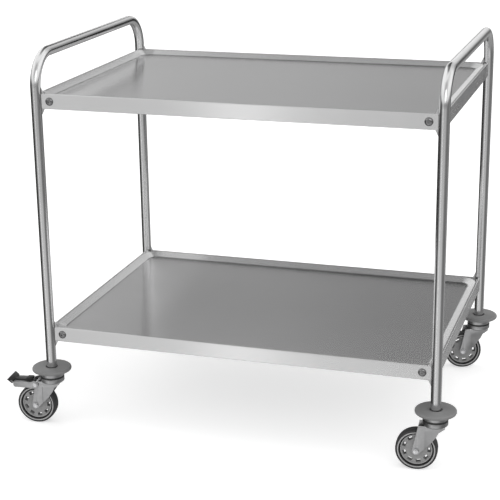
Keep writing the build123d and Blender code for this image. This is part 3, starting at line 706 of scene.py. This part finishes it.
# Spot welds of the stiffener tabs, seen on the end aprons
spotLook = {
    "across": 5.5, "proud": 0.25, "sunk": 0.2, "steps": 20, "fromMiddle": (139.0, 191.0), "drop": 20.0,
    "sharp": 60.0, "seed": 9,
    # the mark's outline from rim to middle, in shares of its radius and of its height
    "ring": [(1.0, 0.0), (0.86, 1.0), (0.72, 0.9), (0.6, 0.35), (0.3, 0.2), (0.0, 0.18)],
}


def makeSpotTemplate():
    radius, proud, sunk = spotLook["across"] / 2, spotLook["proud"], spotLook["sunk"]
    outline = [(0.0, -sunk), (radius, -sunk)] + [(radius * out, proud * up) for out, up in spotLook["ring"]]
    template = newObject("spotTemplate", lathe(outline, spotLook["steps"]))
    shadeByAngle(template.data, spotLook["sharp"])
    return template


spotTemplate = makeSpotTemplate()
spotPoints, spotFacings = [], []
for rimZ in shelves.values():
    for end in ends.values():
        for side in (-1, 1):
            for offset in spotLook["fromMiddle"]:
                spotPoints.append((end["x"], side * offset, rimZ - spotLook["drop"]))
                spotFacings.append((-end["inward"], 0.0, 0.0))
spots = runTree(studTree, "spotWelds", pointMesh("spotPoints", spotPoints, spotFacings), {
    "Stud": spotTemplate, "Roll": math.tau, "Seed": spotLook["seed"], "Finish": finishes["rawPlate"],
})
bpy.data.objects.remove(spotTemplate)
finish(spots, "trolley", "tray_steel")
print("spot welds set")


# Weld beads between the lugs and the legs
weldLook = {  # places are pairs: inwards from the leg's centre, and from there towards the other leg
    "pitch": 1.9, "bead": (1.25, 1.25, 1.5), "spread": 0.22, "segments": 8, "rings": 5, "seed": 21,
    "lugHeight": 62.0, "lugSides": ((12.35, 1.4), (11.7, 4.3)), "sideShort": 1.0,
    "lugEnd": ((12.1, 1.4), (11.8, 4.2)),
    "tacks": (6.0, 17.0, 28.0), "tackAt": (0.6, 13.0), "tackLength": 4.0,
}


def makeWeldTree():
    tree, given = startTree("beadsAlongSeam", {
        "Pitch": "Float", "Smallest": "Vector", "Largest": "Vector", "Seed": "Int", "Finish": "Material",
    })
    seam = addNode(tree, "GeometryNodeMeshToCurve", {"Mesh": given["Geometry"]})
    steps = addNode(tree, "GeometryNodeResampleCurve", {
        "Curve": seam.outputs[0], "Length": given["Pitch"],
    }, mode="LENGTH")
    along = addNode(tree, "GeometryNodeInputTangent")
    aim = addNode(tree, "FunctionNodeAlignRotationToVector", {"Vector": along.outputs[0]}, axis="Z")
    blob = addNode(tree, "GeometryNodeMeshUVSphere", {
        "Segments": weldLook["segments"], "Rings": weldLook["rings"], "Radius": 1.0,
    })
    size = addNode(tree, "FunctionNodeRandomValue", {"Seed": given["Seed"]}, data_type="FLOAT_VECTOR")
    tree.links.new(given["Smallest"], liveSocket(size.inputs, "Min"))
    tree.links.new(given["Largest"], liveSocket(size.inputs, "Max"))
    placed = addNode(tree, "GeometryNodeInstanceOnPoints", {
        "Points": steps.outputs[0], "Instance": blob.outputs[0], "Rotation": aim.outputs[0],
        "Scale": liveSocket(size.outputs, "Value"),
    })
    endTree(tree, placed.outputs[0], given["Finish"], True)
    return tree


def weldSeams(end):
    look, half, seams = weldLook, weldLook["lugHeight"] / 2, []

    def beside(leg, reach, across, z):  # leg is 1 for the front leg and -1 for the rear one
        return end["x"] + end["inward"] * reach, leg * (across - legY), z

    for rimZ in shelves.values():
        middle = rimZ - trayLook["apron"] / 2
        low, high = middle - half, middle + half
        for leg in (1, -1):
            for side in look["lugSides"]:
                lower, upper = low + look["sideShort"], high - look["sideShort"]
                seams.append([beside(leg, *side, lower), beside(leg, *side, upper)])
            for z in (low, high):
                seams.append([beside(leg, *point, z) for point in look["lugEnd"]])
            for drop in look["tacks"]:  # tacks that close the end apron onto the leg
                top = rimZ - drop
                seams.append([beside(leg, *look["tackAt"], z) for z in (top, top - look["tackLength"])])
    return seams


weldTree = makeWeldTree()
for side, end in ends.items():
    beads = Vector(weldLook["bead"]) * mm
    weld = runTree(weldTree, side + "HoopWelds", lineMesh("seams", weldSeams(end)), {
        "Pitch": weldLook["pitch"] * mm, "Smallest": beads * (1 - weldLook["spread"]),
        "Largest": beads * (1 + weldLook["spread"]), "Seed": weldLook["seed"], "Finish": finishes["weldBead"],
    })
    finish(weld, "trolley", "plate_steel")
print("welds run")


# Castors
castorLook = {
    "trail": 42.0, "axleZ": 50.0, "mountZ": 143.0, "discDiameter": 98.0, "discThick": 9.0, "discEdge": 3.6,
    "recess": 31.0, "recessDraft": 0.1, "recessEdge": 1.0, "recessBend": 0.6, "web": 4.0, "hole": 10.2,
    "wheel": 100.0, "tyreThick": 5.0, "tyreWidth": 28.0, "shoulder": 3.4, "sideDraft": 0.2, "crown": 0.35,
    "crownShare": 0.55, "crownFlat": 0.6, "crownBend": 6.0, "bendSteps": 6, "steps": 96, "sharp": 40.0,
}
wheelLook = {  # zones give finish, two radii and depth; a face takes the first that it lies wholly inside
    "windows": 9, "windowPitch": 30.0, "windowLow": 25.0, "windowHigh": 35.2, "draftRadial": 0.42,
    "draftAcross": 0.6,
    # the two lighter zones carry the painted highlight of rim and rib, the groove and window zones carry
    # painted shade
    "zones": [
        ("rimGrey", 41.7, 46.0, 11.5), ("rimGrey", 35.8, 37.7, 7.6), ("grooveGrime", 37.3, 42.3, 0.0),
        ("windowShade", 25.0, 35.2, 0.0),
    ],
}
softEdges = {  # how much each castor piece's edges are broken
    "castor_cap": 0.6, "fork": 0.5, "wheel_centre": 0.4, "pedal_lever": 0.4, "pedal_pad": 0.35,
    "axle_bolt": 0.5, "axle_nut": 0.5, "pedal_pin": 0.4, "dust_seal": 0.5,
}
softFrameEdges = {"left_hoop_lugs": 0.5, "right_hoop_lugs": 0.5, "shelf_nuts": 0.5}
softLook = {"merge": 2e-6, "flat": 0.6, "segments": 2, "bevelFrom": 26.0, "sharp": 35.0}  # merge in metres


def castorPlace(place):
    turn = Matrix.Rotation(math.radians(place["turn"]), 4, "Z")
    return Matrix.Translation((place["x"] * mm, place["y"] * mm, 0)) @ turn


def wheelPlace(place):
    shift = Matrix.Translation((-castorLook["trail"] * mm, 0, castorLook["axleZ"] * mm))
    return castorPlace(place) @ shift @ Matrix.Rotation(math.pi / 2, 4, "X")


def makeDisc():
    look = castorLook
    low, high, web = look["mountZ"], look["mountZ"] + look["discThick"], look["mountZ"] + look["web"]
    radius, recess, hole = look["discDiameter"] / 2, look["recess"] / 2, look["hole"] / 2
    outline = roundedProfile(
        [
            (hole, low), (radius, low), (radius, high), (recess + look["recessDraft"], high), (recess, web),
            (hole, web),
        ],
        [look["discEdge"], look["discEdge"], look["recessEdge"], look["recessBend"]], look["bendSteps"],
    )
    return lathe(outline, look["steps"])


def makeTyre():
    look = castorLook
    radius, half, base = look["wheel"] / 2, look["tyreWidth"] / 2, look["wheel"] / 2 - look["tyreThick"]
    crown, flat, share = radius - look["crown"], look["crownFlat"], half * look["crownShare"]
    side = crown - look["sideDraft"]
    outline = roundedProfile(
        [
            (base, -half), (side, -half), (crown, -share), (radius, -flat), (radius, flat), (crown, share),
            (side, half), (base, half),
        ],
        [look["shoulder"], look["crownBend"], 0.0, 0.0, look["crownBend"], look["shoulder"]],
        look["bendSteps"],
    )
    return lathe(outline, look["steps"])


# A solid with its sharp edges broken as a press or mould leaves them
def softened(nodeName, name, width, change=None):
    node, made = cadNodes[nodeName], bmesh.new()
    made.from_mesh(node.data)
    bmesh.ops.remove_doubles(made, verts=made.verts, dist=softLook["merge"])
    bmesh.ops.dissolve_limit(
        made, angle_limit=math.radians(softLook["flat"]), verts=made.verts, edges=made.edges,
    )
    if change:
        change(made)
    mesh = bpy.data.meshes.new(name)
    made.to_mesh(mesh)
    made.free()
    piece = newObject(name, mesh, node.data.materials[0])
    edge = piece.modifiers.new("edge", "BEVEL")
    edge.width, edge.segments, edge.limit_method = width * mm, softLook["segments"], "ANGLE"
    edge.angle_limit, edge.use_clamp_overlap = math.radians(softLook["bevelFrom"]), True
    piece.data = bakedMesh(piece)
    piece.modifiers.clear()
    piece.data.name = name
    shadeByAngle(piece.data, softLook["sharp"])
    return finish(piece, node["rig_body"], nodeSlot[nodeName], nodeName)


def draftWindows(made, place):  # the windows narrow towards the middle of the web, as moulded ones have to
    look, here = wheelLook, wheelPlace(place)
    back = here.inverted()

    def radius(vertex):
        return (back @ vertex.co).xy.length / mm

    low, high = look["windowLow"], look["windowHigh"]
    walls = [face for face in made.faces if all(low < radius(v) < high for v in face.verts)]
    parts = dict.fromkeys(walls)
    parts.update(dict.fromkeys(part for face in walls for part in (*face.edges, *face.verts)))
    cut = bmesh.ops.bisect_plane(
        made, geom=list(parts), dist=tiny, plane_co=here.translation, plane_no=here.col[2].xyz,
    )
    middle = [(v, back @ v.co) for v in cut["geom_cut"] if isinstance(v, bmesh.types.BMVert)]
    count, pitch = look["windows"], look["windowPitch"] * mm
    turns = [math.atan2(at.y, at.x) for v, at in middle]
    sines, cosines = (sum(wave(count * turn) for turn in turns) for wave in (math.sin, math.cos))
    first = math.atan2(sines, cosines) / count  # where the windows start, from all their points together
    for (vertex, at), turn in zip(middle, turns):
        nearest = first + round((turn - first) * count / math.tau) * math.tau / count
        spin = Matrix.Rotation(nearest, 3, "Z")
        local = spin.inverted() @ at
        local.x = pitch + (local.x - pitch) * look["draftRadial"]
        local.y *= look["draftAcross"]
        vertex.co = here @ (spin @ local)


def dressWheel(wheel, place):  # rim and rib get a lighter grey as a painted highlight, the groove between them near-black as painted shade, and the window walls a darker grey as painted shade
    back = wheelPlace(place).inverted()
    slots = ("rimGrey", "grooveGrime", "windowShade")
    for name in slots:
        wheel.data.materials.append(finishes[name])
    for face in wheel.data.polygons:
        points = [back @ wheel.data.vertices[i].co for i in face.vertices]
        radii, out = [p.xy.length / mm for p in points], min(abs(p.z) for p in points) / mm
        for slot, low, high, depth in wheelLook["zones"]:
            if min(radii) > low and max(radii) < high and out >= depth:
                face.material_index = slots.index(slot) + 1
                break


for corner, place in corners.items():
    disc = makeDisc()
    disc.transform(castorPlace(place))
    shadeByAngle(disc, castorLook["sharp"])
    discPiece = newObject(camel(corner) + "Disc", disc, finishes["discGrey"])
    finish(discPiece, "trolley", "buffer_plastic", corner + "_buffer")
    tyre = makeTyre()
    tyre.transform(wheelPlace(place))
    shadeByAngle(tyre, castorLook["sharp"])
    tyrePiece = newObject(camel(corner) + "Tyre", tyre, finishes["tyreRubber"])
    finish(tyrePiece, corner + "_wheel", "tyre_rubber", corner + "_tyre")
    for part, width in softEdges.items():
        nodeName = corner + "_" + part
        if part == "wheel_centre":
            wheel = softened(nodeName, camel(nodeName), width, lambda made: draftWindows(made, place))
            dressWheel(wheel, place)
        elif nodeName in cadNodes:  # only the left castors have pedals
            softened(nodeName, camel(nodeName), width)
print("castors dressed")

for nodeName, width in softFrameEdges.items():
    softened(nodeName, camel(nodeName) + "Soft", width)
print("lugs and nuts dressed")


# Camera
cameraLook = {
    "place": (1014.8, -3301.8, 1485.4), "yaw": 17.6, "down": 17.52, "roll": -0.74, "lens": 100.66,
    "sensor": 36.0, "farClip": 200.0,  # the last in metres
}


def makeCamera():
    data = bpy.data.cameras.new("studioCamera")
    data.lens = cameraLook["lens"]
    data.sensor_width = cameraLook["sensor"]
    data.clip_end = cameraLook["farClip"]
    camera = bpy.data.objects.new("studioCamera", data)
    bpy.context.scene.collection.objects.link(camera)
    yaw, down, roll = (math.radians(cameraLook[key]) for key in ("yaw", "down", "roll"))
    tilt = Matrix.Rotation(math.pi / 2 - down, 3, "X")
    turn = Matrix.Rotation(yaw, 3, "Z") @ tilt @ Matrix.Rotation(roll, 3, "Z")
    camera.location = Vector(cameraLook["place"]) * mm
    camera.rotation_euler = turn.to_euler()
    bpy.context.scene.camera = camera


# Floor, in metres
floorLook = {"colour": (0.82, 0.82, 0.82), "roughness": 0.9, "glow": 0.50, "size": 60.0}


def makeFloor():  # rays from the camera see it brighter than it is lit, and glossy ones see the room instead
    half = floorLook["size"] / 2
    mesh = bpy.data.meshes.new("studioFloor")
    plane = [(-half, -half, 0), (half, -half, 0), (half, half, 0), (-half, half, 0)]
    mesh.from_pydata(plane, [], [(0, 1, 2, 3)])
    floor = newObject("studioFloor", mesh)
    material = bpy.data.materials.new("paleFloor")
    material.use_nodes = True
    tree = material.node_tree
    shader = tree.nodes["Principled BSDF"]
    shader.inputs["Base Color"].default_value = (*floorLook["colour"], 1.0)
    shader.inputs["Roughness"].default_value = floorLook["roughness"]
    shader.inputs["Specular IOR Level"].default_value = 0.0
    shader.inputs["Emission Color"].default_value = (1.0, 1.0, 1.0, 1.0)
    ray = addNode(tree, "ShaderNodeLightPath").outputs
    seen = mathNode(tree, "MAXIMUM", ray["Is Camera Ray"], ray["Is Glossy Ray"])
    through = mathNode(tree, "MAXIMUM", seen, ray["Is Transmission Ray"])
    glow = mathNode(tree, "MULTIPLY", through, floorLook["glow"])
    tree.links.new(glow, shader.inputs["Emission Strength"])
    mesh.materials.append(material)
    floor.visible_glossy = False


# Lamps, in metres and watts
lampLook = {
    "keyLamp": {"power": 20.0, "size": 2.4, "place": (1.4, -3.6, 2.7)},
    "topLamp": {"power": 9.0, "size": 4.0, "place": (-0.4, 0.3, 4.2)},
}
lampAim = (0.03, 0.0, 0.45)  # the middle of the trolley


def makeLamp(name, look):
    data = bpy.data.lights.new(name, "AREA")
    data.energy = look["power"]
    data.shape = "DISK"
    data.size = look["size"]
    lamp = bpy.data.objects.new(name, data)
    bpy.context.scene.collection.objects.link(lamp)
    lamp.location = look["place"]
    lamp.rotation_euler = (Vector(lampAim) - Vector(look["place"])).to_track_quat("-Z", "Y").to_euler()


# The studio around, as brightness by direction; heights and sides are parts of the ray's unit vector
roomLook = {
    # low under the height rise and high over risen, but never under least
    "low": 0.41, "high": 1.28, "rise": 0.0, "risen": 0.22, "least": 0.03,
    # the wall behind dims by backDrop, fully over the height backTo and inside backSide
    "backWay": (-0.31, 0.95, 0.0), "backSeen": 0.5, "backDrop": 1.14, "backFrom": 0.28, "backTo": 0.37,
    "backSide": 0.17, "backEdge": 0.27,
    # a pale upright strip in front, which fades out between the heights stripeFrom and stripeTo
    "stripeWay": (-0.312, -0.95, 0.0), "stripeSeen": 0.4, "stripe": 1.9, "stripeCore": 0.0,
    "stripeEdge": 0.022, "stripeFrom": -0.30, "stripeTo": 0.25,
    # a patch is full inside patchCore and gone past patchEdge, both in shares of its width
    "patchCore": 0.35, "patchEdge": 1.5,
    "patches": [  # direction, width in radians and change
        ((-0.05, -0.93, -0.36), 0.62, 0.46),  # the lit floor in front
        ((0.10, -0.88, 0.46), 0.62, -0.62),  # the wall over the camera is dimmer
        ((0.0, 0.0, 1.0), 0.62, -0.34),  # the ceiling is dimmer than the walls
        ((-0.95, -0.20, -0.15), 0.50, -0.34),  # dark drape on the left
        ((-0.65, 0.70, -0.30), 0.50, -0.20),  # and behind it
        ((-0.83, 0.50, -0.20), 0.32, -0.22),  # darkest where the two meet
        ((0.95, -0.10, -0.15), 0.50, -0.20),  # dimmer side on the right
        ((0.50, 0.86, 0.05), 0.30, -0.50),  # a screen behind on the right
        ((0.24, 0.84, 0.49), 0.36, -0.50),  # and a dimmer wall over it
    ],
}


def makeRoom():
    look = roomLook
    world = bpy.data.worlds.new("studioRoom")
    bpy.context.scene.world = world
    world.use_nodes = True
    tree = world.node_tree
    tree.nodes.clear()
    way = addNode(tree, "ShaderNodeTexCoord").outputs["Generated"]
    height = addNode(tree, "ShaderNodeSeparateXYZ", {0: way}).outputs["Z"]

    def fade(value, low, high, start, end):
        return rampNode(tree, value, low, high, start, end, "SMOOTHSTEP")

    def towards(direction):  # how far a ray points that way, and how far it swings off to a side
        swing = Vector((direction.y, -direction.x, 0.0))
        return dotNode(tree, way, direction), mathNode(tree, "ABSOLUTE", dotNode(tree, way, swing))

    level = fade(height, look["rise"], look["risen"], look["low"], look["high"])
    for direction, width, change in look["patches"]:
        facing = dotNode(tree, way, Vector(direction).normalized())
        edge, core = math.cos(width * look["patchEdge"]), math.cos(width * look["patchCore"])
        level = mathNode(tree, "ADD", level, fade(facing, edge, core, 0.0, change))
    behind, swung = towards(Vector(look["backWay"]))
    ahead, aside = towards(Vector(look["stripeWay"]).normalized())
    shares = (
        (
            fade(behind, 0.0, look["backSeen"], 0.0, -look["backDrop"]),
            fade(height, look["backFrom"], look["backTo"], 0.0, 1.0),
            fade(swung, look["backSide"], look["backEdge"], 1.0, 0.0),
        ),
        (
            fade(aside, look["stripeCore"], look["stripeEdge"], look["stripe"], 0.0),
            fade(ahead, 0.0, look["stripeSeen"], 0.0, 1.0),
            fade(height, look["stripeFrom"], look["stripeTo"], 1.0, 0.0),
        ),
    )
    for first, second, third in shares:
        level = mathNode(tree, "MULTIPLY_ADD", mathNode(tree, "MULTIPLY", first, second), third, level)
    level = mathNode(tree, "MAXIMUM", level, look["least"])
    room = addNode(tree, "ShaderNodeBackground", {"Color": (1.0, 1.0, 1.0, 1.0), "Strength": level})
    white = addNode(tree, "ShaderNodeBackground", {"Color": (1.0, 1.0, 1.0, 1.0), "Strength": 1.0})
    seen = addNode(tree, "ShaderNodeLightPath").outputs["Is Camera Ray"]
    mixed = addNode(tree, "ShaderNodeMixShader", {0: seen, 1: room.outputs[0], 2: white.outputs[0]})
    addNode(tree, "ShaderNodeOutputWorld", {"Surface": mixed.outputs[0]})


makeCamera()
makeFloor()
for lampName, look in lampLook.items():
    makeLamp(lampName, look)
makeRoom()
bpy.context.scene.view_settings.view_transform = "Standard"
print("studio lit")
